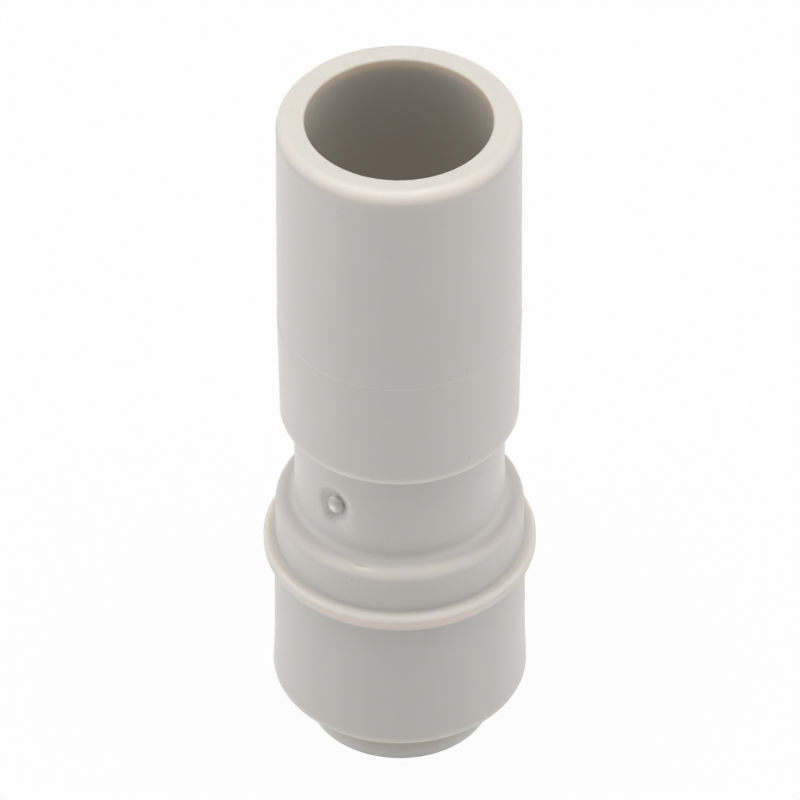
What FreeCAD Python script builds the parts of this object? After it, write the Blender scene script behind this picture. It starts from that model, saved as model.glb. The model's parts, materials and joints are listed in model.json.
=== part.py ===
import FreeCAD, Part
import math
import os
import Sketcher

# A push-in reducer fitting stands on its release ring with the stem pointing up.
# The large plain stem plugs into a 12.7 mm fitting. The small socket at the foot takes a 6.35 mm tube.
# Z is the fitting's axis, and the origin is the centre of the release ring's foot, where the part stands.
# All lengths are millimetres and all angles are degrees.

os.makedirs("parts", exist_ok=True)
document = FreeCAD.newDocument("push_in_reducer")
sheet = document.addObject("Spreadsheet::Sheet", "Sizes")

DRIVING_SIZES = [
    ("stem_diameter", 12.70, "stem at the parting line, the nominal half inch tube size"),
    ("rim_draft", 0.07, "the stem's loss of radius from the parting line to its open end"),
    ("heel_draft", 0.08, "the stem's loss of radius from the parting line to its lower edge"),
    ("stem_length", 19.52, "open end to lower edge of the stem"),
    ("parting_height", 6.71, "parting line above the stem's lower edge"),
    ("parting_land", 0.90, "parallel band at the parting line"),
    ("rim_land", 1.40, "parallel band at the open end, with the rounding"),
    ("heel_land", 0.95, "parallel band at the lower edge, with the rounding"),
    ("neck_depth", 0.73, "depth of the waist that a mating fitting's grip ring closes on"),
    ("neck_length", 5.84, "stem's lower edge to the shoulder"),
    ("rim_rounding", 0.50, "outer edge of the open end"),
    ("heel_rounding", 0.30, "lower edge of the stem"),
    ("neck_top_rounding", 0.20, "corner under the stem's lower edge"),
    ("neck_root_rounding", 0.42, "corner between the neck and the shoulder"),
    ("shoulder_rounding", 0.60, "outer edge of the shoulder"),
    ("stem_wall", 1.45, "wall of the stem at its open end"),
    ("stem_bore_draft", 0.09, "the stem bore's loss of radius from the open end to its floor"),
    ("stem_bore_break", 0.16, "inner edge of the open end"),
    ("neck_wall", 1.64, "wall of the neck"),
    ("neck_bore_lift", 0.90, "top of the neck's bore above the stem's lower edge"),
    ("step_height", 0.85, "cone between the neck's bore and the stem's bore"),
    ("socket_height", 8.52, "mouth to the collar's underside"),
    ("socket_wall", 1.64, "socket's wall beside the fingers, under the collar"),
    ("socket_draft", 0.05, "the socket's gain of radius from the collar to the flare"),
    ("flare_reach", 0.10, "the flare's gain of radius at the mouth"),
    ("flare_height", 2.40, "height of the flare above the mouth"),
    ("mouth_rounding", 0.25, "outer edge of the mouth"),
    ("shoulder_inset", 0.07, "how far the shoulder's side stands back from the socket's"),
    ("collar_reach", 0.65, "how far the collar stands out of the shoulder's side"),
    ("collar_height", 0.90, "thickness of the collar"),
    ("collar_top_rounding", 0.24, "upper edge of the collar"),
    ("collar_low_rounding", 0.30, "lower edge of the collar"),
    ("tube_diameter", 6.35, "quarter inch tube that the socket takes"),
    ("tube_play", 0.15, "socket's bore over the tube, on the diameter"),
    ("tube_depth", 16.00, "foot of the release ring to the tube stop"),
    ("seat_length", 2.40, "guided length of the tube past the seal"),
    ("seat_break", 0.20, "edge break where the tube enters its seat"),
    ("stop_ledge", 0.85, "width of the ledge that stops the tube"),
    ("stop_thickness", 1.10, "web that stops the tube"),
    ("funnel_height", 0.80, "cone between the waterway and the neck's bore"),
    ("seal_squeeze", 0.28, "the sealing ring's inside diameter is smaller than the tube by this"),
    ("seal_section", 1.78, "thickness of the sealing ring"),
    ("seal_play", 0.035, "gap round and above the sealing ring"),
    ("seal_room", 0.12, "the seal's bore is longer than the ring is thick by this"),
    ("seal_cover", 1.27, "solid over the sealing ring, up to the shoulder"),
    ("cavity_ledge", 0.15, "the fingers' room is wider than the seal's bore, on the radius"),
    ("cam_angle", 14.0, "slope that closes the fingers, from the axis"),
    ("mouth_land", 1.76, "parallel bore that guides the collet"),
    ("mouth_break", 0.25, "edge break at the mouth's bore"),
    ("sleeve_wall", 0.75, "wall of the collet's sleeve"),
    ("sleeve_play", 0.08, "running gap between the sleeve and the mouth, on the radius"),
    ("cam_play", 0.04, "gap between the fingers and their slope at rest, on the radius"),
    ("head_reach", 0.915, "how far the release ring stands out of the sleeve"),
    ("head_height", 1.47, "thickness of the release ring"),
    ("head_rounding", 0.12, "edges of the release ring"),
    ("sleeve_root_rounding", 0.15, "corner between the release ring and the sleeve"),
    ("press_travel", 1.30, "how far the collet presses in"),
    ("press_reserve", 0.02, "gap left over the release ring when it is pressed in"),
    ("tip_reserve", 0.285, "gap left between the fingers and the sealing ring when pressed in"),
    ("lead_width", 0.50, "lead-in for the tube, on the radius"),
    ("lead_height", 0.80, "height of the lead-in"),
    ("barb_play", 0.25, "gap between the fingers' thick ends and the wall of their room"),
    ("finger_tip_break", 0.50, "slope at the ends of the fingers"),
    ("finger_count", 6, "fingers of the collet, each with its own tooth"),
    ("slot_width", 0.90, "slot between two fingers"),
    ("sleeve_band", 2.23, "unslotted band of the sleeve above the release ring"),
    ("tooth_width", 1.70, "steel tooth along the bore"),
    ("tooth_thickness", 0.25, "steel strip"),
    ("tooth_length", 1.40, "steel strip from its points to its embedded end"),
    ("tooth_bite", 0.085, "how far the points would sink into the tube, on the radius"),
    ("tooth_slope", 30.0, "teeth rise by this angle towards the tube stop"),
    ("tooth_drop", 1.05, "points of the teeth below the fingers' ends"),
    ("tooth_bevel", 0.30, "ground length of the cutting edge"),
    ("tooth_notch", 0.30, "depth of the notches between the points"),
    ("gate_bearing", 37.0, "gate mark, from the front towards the left"),
    ("gate_height", 2.88, "gate mark above the shoulder"),
    ("gate_dish_diameter", 2.14, "dish round the gate, at the neck's surface"),
    ("gate_dish_depth", 0.26, "depth of the dish"),
    ("gate_dish_edge", 0.30, "width of the dish's sloping edge"),
    ("gate_stub_diameter", 0.95, "foot of the stub where the gate broke off"),
    ("gate_stub_draft", 0.05, "the stub's loss of radius from its foot to its top"),
    ("gate_stub_drop", 0.05, "the stub's top lies this far under the neck's surface"),
    ("cut_margin", 1.00, "how far a cut runs past the face that it opens"),
]

for row, (alias, number, note) in enumerate(DRIVING_SIZES, start=1):
    sheet.set(f"A{row}", alias)
    sheet.set(f"B{row}", str(number))
    sheet.set(f"C{row}", note)
    sheet.setAlias(f"B{row}", alias)
document.recompute()

# Radii of the outside. The stem's follow from the tube it stands for, the socket's from what it holds.
STEM = "(Sizes.stem_diameter / 2)"
RIM = f"({STEM} - Sizes.rim_draft)"
HEEL = f"({STEM} - Sizes.heel_draft)"
NECK = f"({HEEL} - Sizes.neck_depth)"
TUBE_BORE = "((Sizes.tube_diameter + Sizes.tube_play) / 2)"
SEAL_INSIDE = "((Sizes.tube_diameter - Sizes.seal_squeeze) / 2)"
SEAL_BORE = f"({SEAL_INSIDE} + Sizes.seal_section + Sizes.seal_play)"
CAVITY = f"({SEAL_BORE} + Sizes.cavity_ledge)"
SOCKET_TOP = f"({CAVITY} + Sizes.socket_wall)"
SOCKET_LOW = f"({SOCKET_TOP} + Sizes.socket_draft)"
MOUTH = f"({SOCKET_LOW} + Sizes.flare_reach)"
SHOULDER = f"({SOCKET_TOP} - Sizes.shoulder_inset)"
COLLAR = f"({SHOULDER} + Sizes.collar_reach)"

# Radii of the bores and of the collet.
STEM_BORE = f"({RIM} - Sizes.stem_wall)"
STEM_BORE_FLOOR = f"({STEM_BORE} - Sizes.stem_bore_draft)"
NECK_BORE = f"({NECK} - Sizes.neck_wall)"
WATERWAY = f"({TUBE_BORE} - Sizes.stop_ledge)"
SLEEVE = f"({TUBE_BORE} + Sizes.sleeve_wall)"
MOUTH_BORE = f"({SLEEVE} + Sizes.sleeve_play)"
BARB = f"({CAVITY} - Sizes.barb_play)"
HEAD = f"({SLEEVE} + Sizes.head_reach)"
CAM_RISE = "tan(Sizes.cam_angle)"

# Heights above the foot, each stacked on one before it.
MOUTH_FACE = "(Sizes.head_height + Sizes.press_travel + Sizes.press_reserve)"
CAM_FOOT = f"({MOUTH_FACE} + Sizes.mouth_land)"
CAM_TOP = f"({CAM_FOOT} + ({CAVITY} - {MOUTH_BORE}) / {CAM_RISE})"
COLLAR_UNDERSIDE = f"({MOUTH_FACE} + Sizes.socket_height)"
COLLAR_TOP = f"({COLLAR_UNDERSIDE} + Sizes.collar_height)"
SEAL_STEP = "(Sizes.tube_depth - Sizes.seat_length)"
SEAL_FLOOR = f"({SEAL_STEP} - Sizes.seal_section - Sizes.seal_room)"
SEAL_MIDDLE = f"({SEAL_STEP} - Sizes.seal_play - Sizes.seal_section / 2)"
FINGER_TIPS = f"({SEAL_MIDDLE} - Sizes.seal_section / 2 - Sizes.tip_reserve - Sizes.press_travel)"
SHOULDER_TOP = f"({SEAL_STEP} + Sizes.seal_cover)"
WEB_TOP = "(Sizes.tube_depth + Sizes.stop_thickness)"
STEM_FOOT = f"({SHOULDER_TOP} + Sizes.neck_length)"
NECK_BORE_TOP = f"({STEM_FOOT} + Sizes.neck_bore_lift)"
PARTING = f"({STEM_FOOT} + Sizes.parting_height)"
STEM_END = f"({STEM_FOOT} + Sizes.stem_length)"

FINGER_PITCH = "(360 / Sizes.finger_count)"

# The shoulder's ledge holds a hollow rounding and an outer one, so each is limited to its share of it.
SHOULDER_LEDGE = f"({SHOULDER} - {NECK})"
ROOT_SHARE = 0.41
EDGE_SHARE = 0.585


def value(expression):
    """What an expression on the sheet comes to now."""
    return float(sheet.evalExpression(expression))


def new_body(label):
    """An empty body for one piece, named after the piece."""
    body = document.addObject("PartDesign::Body", label)
    body.Label = label
    return body


def origin_part(body, role):
    """One of the body's own origin planes or axes."""
    return next(item for item in body.Origin.OriginFeatures if item.Role == role)


def new_sketch(body, name, plane):
    """An empty sketch on one of the body's origin planes."""
    sketch = body.newObject("Sketcher::SketchObject", name)
    sketch.AttachmentSupport = (origin_part(body, plane), [""])
    sketch.MapMode = "FlatFace"
    sketch.Visibility = False
    document.recompute()
    return sketch


def turn_sketch(sketch, about, angle, lift="0"):
    """Turns a sketch about one of its plane's directions and lifts it off the plane."""
    sketch.AttachmentOffset = FreeCAD.Placement(FreeCAD.Vector(), FreeCAD.Rotation(about, 0))
    sketch.setExpression("AttachmentOffset.Rotation.Angle", angle)
    sketch.setExpression("AttachmentOffset.Base.z", lift)
    document.recompute()


def hold(sketch, direction, shape, end, expression):
    """Holds a point at its distance from the sketch's origin, across (X) or up (Y)."""
    index = sketch.addConstraint(
        Sketcher.Constraint(f"Distance{direction}", -1, 1, shape, end, value(expression))
    )
    sketch.setExpression(f"Constraints[{index}]", expression)


def draw_polygon(sketch, corners):
    """A closed outline of straight lines through the corners, each an (across, up) pair of expressions."""
    points = [FreeCAD.Vector(value(across), value(up), 0) for across, up in corners]
    lines = [
        sketch.addGeometry(Part.LineSegment(start, stop), False)
        for start, stop in zip(points, points[1:] + points[:1])
    ]
    for line, following in zip(lines, lines[1:] + lines[:1]):
        sketch.addConstraint(Sketcher.Constraint("Coincident", line, 2, following, 1))
    for line, (across, up) in zip(lines, corners):
        hold(sketch, "X", line, 1, across)
        hold(sketch, "Y", line, 1, up)
    document.recompute()


def turn_profile(body, kind, name, sketch, axis="V_Axis"):
    """A full turn of a sketch about one of its own axes, which adds material or cuts it."""
    feature = body.newObject(f"PartDesign::{kind}", name)
    feature.Profile = sketch
    feature.ReferenceAxis = (sketch, [axis])
    feature.Angle = 360
    document.recompute()


def ring_edges(shape, radius, height):
    """The names of the round edges of one radius at one height on the axis."""
    names = []
    for number, edge in enumerate(shape.Edges, start=1):
        curve = edge.Curve
        if not isinstance(curve, Part.Circle):
            continue
        off_axis = math.hypot(curve.Center.x, curve.Center.y)
        misses = (off_axis, curve.Center.z - value(height), curve.Radius - value(radius))
        if max(abs(miss) for miss in misses) < 1e-4:
            names.append(f"Edge{number}")
    if not names:
        raise RuntimeError(f"no edge of radius {value(radius)} at height {value(height)}")
    return names


def dress_edge(body, kind, name, radius, height, size):
    """Rounds (Fillet) or breaks (Chamfer) the round edge of one radius at one height."""
    base = body.Tip
    feature = body.newObject(f"PartDesign::{kind}", name)
    feature.Base = (base, ring_edges(base.Shape, radius, height))
    feature.setExpression("Radius" if kind == "Fillet" else "Size", size)
    document.recompute()


def check_cut(body, volume_before, what):
    """Stops if the last cut took nothing away."""
    if body.Shape.Volume > volume_before - 1e-6:
        raise RuntimeError(f"{what} cut nothing")


def repeat_for_fingers(body, feature, name):
    """Repeats a cut once for each finger, round the body's axis."""
    pattern = body.newObject("PartDesign::PolarPattern", name)
    pattern.Originals = [feature]
    pattern.Axis = (origin_part(body, "Z_Axis"), [""])
    pattern.Angle = 360
    pattern.setExpression("Occurrences", "Sizes.finger_count")
    body.Tip = pattern
    document.recompute()


def make_body():
    """The one moulding: drafted stem, neck, shoulder, collar and socket, bored right through."""
    body = new_body("body")
    outside = [
        ("0", MOUTH_FACE),
        (MOUTH, MOUTH_FACE),
        (SOCKET_LOW, f"{MOUTH_FACE} + Sizes.flare_height"),
        (SOCKET_TOP, COLLAR_UNDERSIDE),
        (COLLAR, COLLAR_UNDERSIDE),
        (COLLAR, COLLAR_TOP),
        (SHOULDER, COLLAR_TOP),
        (SHOULDER, SHOULDER_TOP),
        (NECK, SHOULDER_TOP),
        (NECK, STEM_FOOT),
        (HEEL, STEM_FOOT),
        (HEEL, f"{STEM_FOOT} + Sizes.heel_land"),
        (STEM, f"{PARTING} - Sizes.parting_land / 2"),
        (STEM, f"{PARTING} + Sizes.parting_land / 2"),
        (RIM, f"{STEM_END} - Sizes.rim_land"),
        (RIM, STEM_END),
        ("0", STEM_END),
    ]
    outside_sketch = new_sketch(body, "body_outside", "XZ_Plane")
    draw_polygon(outside_sketch, outside)
    turn_profile(body, "Revolution", "body_blank", outside_sketch)

    below_mouth = f"{MOUTH_FACE} - Sizes.cut_margin"
    above_stem = f"{STEM_END} + Sizes.cut_margin"
    inside = [
        ("0", below_mouth),
        (MOUTH_BORE, below_mouth),
        (MOUTH_BORE, CAM_FOOT),
        (CAVITY, CAM_TOP),
        (CAVITY, SEAL_FLOOR),
        (SEAL_BORE, SEAL_FLOOR),
        (SEAL_BORE, SEAL_STEP),
        (TUBE_BORE, SEAL_STEP),
        (TUBE_BORE, "Sizes.tube_depth"),
        (WATERWAY, "Sizes.tube_depth"),
        (WATERWAY, WEB_TOP),
        (NECK_BORE, f"{WEB_TOP} + Sizes.funnel_height"),
        (NECK_BORE, NECK_BORE_TOP),
        (STEM_BORE_FLOOR, f"{NECK_BORE_TOP} + Sizes.step_height"),
        (STEM_BORE, STEM_END),
        (STEM_BORE, above_stem),
        ("0", above_stem),
    ]
    before = body.Shape.Volume
    inside_sketch = new_sketch(body, "body_inside", "XZ_Plane")
    draw_polygon(inside_sketch, inside)
    turn_profile(body, "Groove", "body_bores", inside_sketch)
    check_cut(body, before, "the bores of the body")

    root_rounding = f"min(Sizes.neck_root_rounding; {ROOT_SHARE} * {SHOULDER_LEDGE})"
    shoulder_rounding = f"min(Sizes.shoulder_rounding; {EDGE_SHARE} * {SHOULDER_LEDGE})"
    edges = [
        ("Fillet", "rim_edge", RIM, STEM_END, "Sizes.rim_rounding"),
        ("Fillet", "heel_edge", HEEL, STEM_FOOT, "Sizes.heel_rounding"),
        ("Fillet", "neck_top_corner", NECK, STEM_FOOT, "Sizes.neck_top_rounding"),
        ("Fillet", "neck_root_corner", NECK, SHOULDER_TOP, root_rounding),
        ("Fillet", "shoulder_edge", SHOULDER, SHOULDER_TOP, shoulder_rounding),
        ("Fillet", "collar_top_edge", COLLAR, COLLAR_TOP, "Sizes.collar_top_rounding"),
        ("Fillet", "collar_low_edge", COLLAR, COLLAR_UNDERSIDE, "Sizes.collar_low_rounding"),
        ("Fillet", "mouth_edge", MOUTH, MOUTH_FACE, "Sizes.mouth_rounding"),
        ("Fillet", "stem_bore_edge", STEM_BORE, STEM_END, "Sizes.stem_bore_break"),
        ("Chamfer", "mouth_bore_edge", MOUTH_BORE, MOUTH_FACE, "Sizes.mouth_break"),
        ("Chamfer", "tube_seat_edge", TUBE_BORE, SEAL_STEP, "Sizes.seat_break"),
    ]
    for kind, name, radius, height, size in edges:
        dress_edge(body, kind, name, radius, height, size)
    cut_gate_mark(body)
    return body


def cut_gate_mark(body):
    """A shallow dish on the neck, with the stub of the moulding's gate standing in it."""
    sketch = new_sketch(body, "gate_section", "XY_Plane")
    upright = FreeCAD.Vector(0, 0, 1)
    turn_sketch(sketch, upright, "270 - Sizes.gate_bearing", f"{SHOULDER_TOP} + Sizes.gate_height")
    stub = "(Sizes.gate_stub_diameter / 2)"
    stub_top = f"{NECK} - Sizes.gate_stub_drop"
    dish = "(Sizes.gate_dish_diameter / 2)"
    dish_floor = f"{NECK} - Sizes.gate_dish_depth"
    edge_slope = "(Sizes.gate_dish_depth / Sizes.gate_dish_edge)"
    far_across = f"{NECK} + Sizes.cut_margin * {edge_slope}"
    far_up = f"{dish} + Sizes.cut_margin"
    outside = f"{far_across} + Sizes.cut_margin"
    section = [
        (stub_top, "0"),
        (stub_top, f"{stub} - Sizes.gate_stub_draft"),
        (dish_floor, stub),
        (dish_floor, f"{dish} - Sizes.gate_dish_edge"),
        (far_across, far_up),
        (outside, far_up),
        (outside, "0"),
    ]
    before = body.Shape.Volume
    draw_polygon(sketch, section)
    turn_profile(body, "Groove", "gate_mark", sketch, "H_Axis")
    check_cut(body, before, "the gate mark")


def make_seal():
    """The rubber sealing ring, under the step where the tube's seat starts."""
    ring = document.addObject("Part::Torus", "o_ring")
    ring.Label = "o_ring"
    ring.setExpression("Radius1", f"{SEAL_INSIDE} + Sizes.seal_section / 2")
    ring.setExpression("Radius2", "Sizes.seal_section / 2")
    ring.setExpression("Placement.Base.z", SEAL_MIDDLE)
    document.recompute()
    return ring


def tooth_strip():
    """The side view of a tooth: a sloping strip, ground to an edge that points at the tube."""
    along = "cos(Sizes.tooth_slope)"
    drop = "sin(Sizes.tooth_slope)"
    tip = "(Sizes.tube_diameter / 2 - Sizes.tooth_bite)"
    tip_height = f"({FINGER_TIPS} - Sizes.tooth_drop)"
    over = f"Sizes.tooth_thickness * {drop}"
    above = f"Sizes.tooth_thickness * {along}"
    root = f"{tip} + Sizes.tooth_length * {along}"
    root_height = f"{tip_height} - Sizes.tooth_length * {drop}"
    bevel_end = f"{tip} + Sizes.tooth_bevel * {along} + {over}"
    bevel_height = f"{tip_height} - Sizes.tooth_bevel * {drop} + {above}"
    return [
        (tip, tip_height),
        (root, root_height),
        (f"{root} + {over}", f"{root_height} + {above}"),
        (bevel_end, bevel_height),
    ]


def make_collet():
    """The release ring and its sleeve, slotted into sprung fingers that carry the teeth."""
    collet = new_body("collet")
    barb_foot = f"{CAM_FOOT} - (Sizes.sleeve_play - Sizes.cam_play) / {CAM_RISE}"
    barb_full = f"{barb_foot} + ({BARB} - {SLEEVE}) / {CAM_RISE}"
    section = [
        (f"{TUBE_BORE} + Sizes.lead_width", "0"),
        (HEAD, "0"),
        (HEAD, "Sizes.head_height"),
        (SLEEVE, "Sizes.head_height"),
        (SLEEVE, barb_foot),
        (BARB, barb_full),
        (BARB, f"{FINGER_TIPS} - Sizes.finger_tip_break"),
        (f"{BARB} - Sizes.finger_tip_break", FINGER_TIPS),
        (TUBE_BORE, FINGER_TIPS),
        (TUBE_BORE, "Sizes.lead_height"),
    ]
    sketch = new_sketch(collet, "collet_section", "XZ_Plane")
    draw_polygon(sketch, section)
    turn_profile(collet, "Revolution", "collet_blank", sketch)
    dress_edge(collet, "Fillet", "foot_edge", HEAD, "0", "Sizes.head_rounding")
    dress_edge(collet, "Fillet", "head_edge", HEAD, "Sizes.head_height", "Sizes.head_rounding")
    dress_edge(
        collet, "Fillet", "sleeve_root", SLEEVE, "Sizes.head_height", "Sizes.sleeve_root_rounding"
    )
    cut_slots(collet)
    cut_tooth_pockets(collet)
    return collet


def cut_slots(collet):
    """Slots with round floors that part the sleeve into fingers."""
    sketch = new_sketch(collet, "slot_outline", "YZ_Plane")
    side = "(Sizes.slot_width / 2)"
    arc_centre = f"Sizes.head_height + Sizes.sleeve_band + {side}"
    top = f"{FINGER_TIPS} + Sizes.cut_margin"
    left_foot = FreeCAD.Vector(-value(side), value(arc_centre), 0)
    right_foot = FreeCAD.Vector(value(side), value(arc_centre), 0)
    floor_middle = FreeCAD.Vector(0, value(arc_centre) - value(side), 0)
    left_top = FreeCAD.Vector(-value(side), value(top), 0)
    right_top = FreeCAD.Vector(value(side), value(top), 0)
    floor = sketch.addGeometry(Part.Arc(left_foot, floor_middle, right_foot), False)
    right = sketch.addGeometry(Part.LineSegment(right_foot, right_top), False)
    roof = sketch.addGeometry(Part.LineSegment(right_top, left_top), False)
    left = sketch.addGeometry(Part.LineSegment(left_top, left_foot), False)
    sketch.addConstraint(
        [
            Sketcher.Constraint("Tangent", floor, 2, right, 1),
            Sketcher.Constraint("Coincident", right, 2, roof, 1),
            Sketcher.Constraint("Coincident", roof, 2, left, 1),
            Sketcher.Constraint("Tangent", left, 2, floor, 1),
            Sketcher.Constraint("Vertical", right),
            Sketcher.Constraint("Horizontal", roof),
            Sketcher.Constraint("PointOnObject", floor, 3, -2),
        ]
    )
    hold(sketch, "X", right, 2, side)
    hold(sketch, "Y", right, 2, top)
    hold(sketch, "Y", floor, 3, arc_centre)
    document.recompute()
    before = collet.Shape.Volume
    slot = collet.newObject("PartDesign::Pocket", "slot")
    slot.Profile = sketch
    slot.setExpression("Length", f"{HEAD} + Sizes.cut_margin")
    document.recompute()
    check_cut(collet, before, "the first slot")
    repeat_for_fingers(collet, slot, "slots")


def cut_tooth_pockets(collet):
    """Pockets in which the teeth are moulded, one in the middle of each finger."""
    sketch = new_sketch(collet, "tooth_pocket_outline", "XZ_Plane")
    turn_sketch(sketch, FreeCAD.Vector(0, 1, 0), f"{FINGER_PITCH} / 2")
    draw_polygon(sketch, tooth_strip())
    before = collet.Shape.Volume
    pocket = collet.newObject("PartDesign::Pocket", "tooth_pocket")
    pocket.Profile = sketch
    pocket.SideType = "Symmetric"
    pocket.setExpression("Length", "Sizes.tooth_width")
    document.recompute()
    check_cut(collet, before, "the first tooth pocket")
    repeat_for_fingers(collet, pocket, "tooth_pockets")


def make_tooth(number):
    """One stainless tooth with two points, turned to its own finger."""
    tooth = new_body(f"tooth_{number}")
    side_view = new_sketch(tooth, f"tooth_{number}_side", "XZ_Plane")
    outline = tooth_strip()
    draw_polygon(side_view, outline)
    strip = tooth.newObject("PartDesign::Pad", f"tooth_{number}_strip")
    strip.Profile = side_view
    strip.SideType = "Symmetric"
    strip.setExpression("Length", "Sizes.tooth_width")
    document.recompute()

    tip, tip_height = outline[0]
    valley = f"{tip} + Sizes.tooth_notch"
    clear = f"{tip} - Sizes.cut_margin"
    edge = "Sizes.tooth_width / 2"
    points = [
        (clear, f"-{edge}"),
        (valley, f"-{edge}"),
        (tip, f"-{edge} / 2"),
        (valley, "0"),
        (tip, f"{edge} / 2"),
        (valley, edge),
        (clear, edge),
    ]
    top_view = new_sketch(tooth, f"tooth_{number}_top", "XY_Plane")
    draw_polygon(top_view, points)
    before = tooth.Shape.Volume
    notches = tooth.newObject("PartDesign::Pocket", f"tooth_{number}_notches")
    notches.Profile = top_view
    notches.Reversed = True
    notches.setExpression("Length", f"{tip_height} + Sizes.cut_margin")
    document.recompute()
    check_cut(tooth, before, "the notches of a tooth")
    tooth.setExpression("Placement.Rotation.Angle", f"{FINGER_PITCH} * {number - 0.5}")
    document.recompute()
    return tooth


pieces = [make_body(), make_seal(), make_collet()]
for number in range(1, int(value("Sizes.finger_count")) + 1):
    pieces.append(make_tooth(number))

for thing in document.Objects:
    if "Invalid" in thing.State or "Error" in thing.State:
        raise RuntimeError(f"{thing.Label} did not rebuild: {thing.State}")
for piece in pieces:
    shape = piece.Shape
    if shape.isNull() or not shape.isValid() or len(shape.Solids) != 1:
        raise RuntimeError(f"{piece.Label} is not one sound solid")
    print(f"{piece.Label}: {shape.Volume:.3f} mm3, {len(shape.Faces)} faces")
for piece in pieces:
    piece.Shape.exportStep(f"parts/{piece.Label}.step")
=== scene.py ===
# %% [markdown]
# # A push-in reducer fitting
#
# The object is a small moulded plastic fitting, 40 mm tall. Its plain stem plugs into a larger fitting,
# and the socket at its foot grips a small tube. Nearly every surface is turned about one upright axis,
# so the lesson is about outlines: draw half of the section well, turn it, and the shape is right from
# every side. The marks that make it look real come after that: the witness line of the mould, the
# broken gate, the soft roundings, and a satin plastic lit by soft boxes.
#
# The CAD model is the fixed frame. Blender works in metres, and the Z axis is the axis of the fitting.

# %% Load the frame
import json
import math

import bmesh
import bpy
from mathutils import Matrix, Vector

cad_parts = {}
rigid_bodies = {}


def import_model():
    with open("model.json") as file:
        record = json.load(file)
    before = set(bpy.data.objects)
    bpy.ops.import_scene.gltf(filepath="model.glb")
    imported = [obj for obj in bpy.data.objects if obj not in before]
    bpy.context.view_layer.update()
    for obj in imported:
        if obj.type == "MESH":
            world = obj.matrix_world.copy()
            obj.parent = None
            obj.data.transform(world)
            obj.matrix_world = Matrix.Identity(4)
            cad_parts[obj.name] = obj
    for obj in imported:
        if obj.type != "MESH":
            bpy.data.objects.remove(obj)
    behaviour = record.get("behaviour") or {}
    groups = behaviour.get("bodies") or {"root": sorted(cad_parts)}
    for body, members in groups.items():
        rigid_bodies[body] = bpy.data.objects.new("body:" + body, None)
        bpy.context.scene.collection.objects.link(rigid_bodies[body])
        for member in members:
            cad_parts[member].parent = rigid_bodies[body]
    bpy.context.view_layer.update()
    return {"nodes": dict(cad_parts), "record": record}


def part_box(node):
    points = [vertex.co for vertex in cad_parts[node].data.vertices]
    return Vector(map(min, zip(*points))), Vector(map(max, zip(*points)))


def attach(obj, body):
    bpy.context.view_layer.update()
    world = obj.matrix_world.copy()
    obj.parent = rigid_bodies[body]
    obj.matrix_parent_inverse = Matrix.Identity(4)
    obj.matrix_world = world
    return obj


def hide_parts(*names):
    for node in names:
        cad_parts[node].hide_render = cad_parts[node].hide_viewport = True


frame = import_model()

# %% [markdown]
# ## Sizes
#
# The CAD model settles the places that matter: where the stem ends, how wide the collar is, how high the
# fingers reach. They are read from the frame, so the looks follow if the model changes. The smaller
# sizes, such as roundings and wall thicknesses, are written here in millimetres.

# %% Sizes read from the frame
mm = 0.001


def radius_of(node):
    """The largest radius of a turned CAD node."""
    low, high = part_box(node)
    return max(high.x, high.y, -low.x, -low.y)


mounts = {mount["name"]: mount for mount in frame["record"]["mounts"]}
mouth_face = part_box("body")[0].z
stem_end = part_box("body")[1].z
collar_radius = radius_of("body")
head_radius = radius_of("collet")
finger_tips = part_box("collet")[1].z
seal_low, seal_high = (corner.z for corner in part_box("o_ring"))
seal_section = seal_high - seal_low
seal_outside = radius_of("o_ring")
stem_radius = mounts["stem"]["dims"]["r_mm"] * mm
parting_height = mounts["stem"]["pos_m"][2]
tube_bore = mounts["tube_socket"]["dims"]["r_mm"] * mm
tooth_nodes = sorted(name for name in frame["nodes"] if name.startswith("tooth_"))
finger_count = len(tooth_nodes)
print(f"stem {stem_radius * 2000:.2f} mm, tube bore {tube_bore * 2000:.2f} mm, {finger_count} fingers")

# %% Sizes written here
rim_radius = stem_radius - 0.07 * mm
heel_radius = stem_radius - 0.08 * mm
neck_radius = heel_radius - 0.73 * mm
stem_foot = stem_end - 19.52 * mm
shoulder_top = stem_foot - 5.84 * mm
shoulder_radius = collar_radius - 0.65 * mm
socket_radius = shoulder_radius + 0.07 * mm
flare_radius = socket_radius + 0.05 * mm
mouth_radius = flare_radius + 0.10 * mm
flare_height = mouth_face + 2.40 * mm
collar_underside = mouth_face + 8.52 * mm
collar_top = collar_underside + 0.90 * mm

stem_bore = rim_radius - 1.45 * mm
stem_bore_floor = stem_bore - 0.09 * mm
neck_bore = neck_radius - 1.64 * mm
neck_bore_top = stem_foot + 0.90 * mm
step_height = 0.85 * mm
waterway = tube_bore - 0.85 * mm
tube_stop = 16.00 * mm
web_top = tube_stop + 1.10 * mm
funnel_top = web_top + 0.80 * mm
seal_step = seal_high + 0.035 * mm
seal_bore = seal_outside + 0.035 * mm
seal_floor = seal_low - 0.085 * mm
cavity = seal_bore + 0.15 * mm
sleeve_radius = tube_bore + 0.75 * mm
mouth_bore = sleeve_radius + 0.08 * mm
cam_foot = mouth_face + 1.76 * mm
cam_rise = math.tan(math.radians(14))
cam_top = cam_foot + (cavity - mouth_bore) / cam_rise

gate_bearing = math.radians(38.5)
gate_height = shoulder_top + 2.74 * mm
gate_out = Vector((-math.sin(gate_bearing), -math.cos(gate_bearing), 0))
gate_along = Vector((math.cos(gate_bearing), -math.sin(gate_bearing), 0))


def on_neck(across, up, depth):
    """The point of the neck's surface at a distance across and up from the gate, sunk by a depth."""
    swing = across / neck_radius
    spoke = gate_out * math.cos(swing) + gate_along * math.sin(swing)
    return spoke * (neck_radius - depth) + Vector((0, 0, gate_height + up))


print(f"neck {neck_radius * 2000:.2f} mm across, gate {gate_height * 1000:.2f} mm above the floor")

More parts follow.
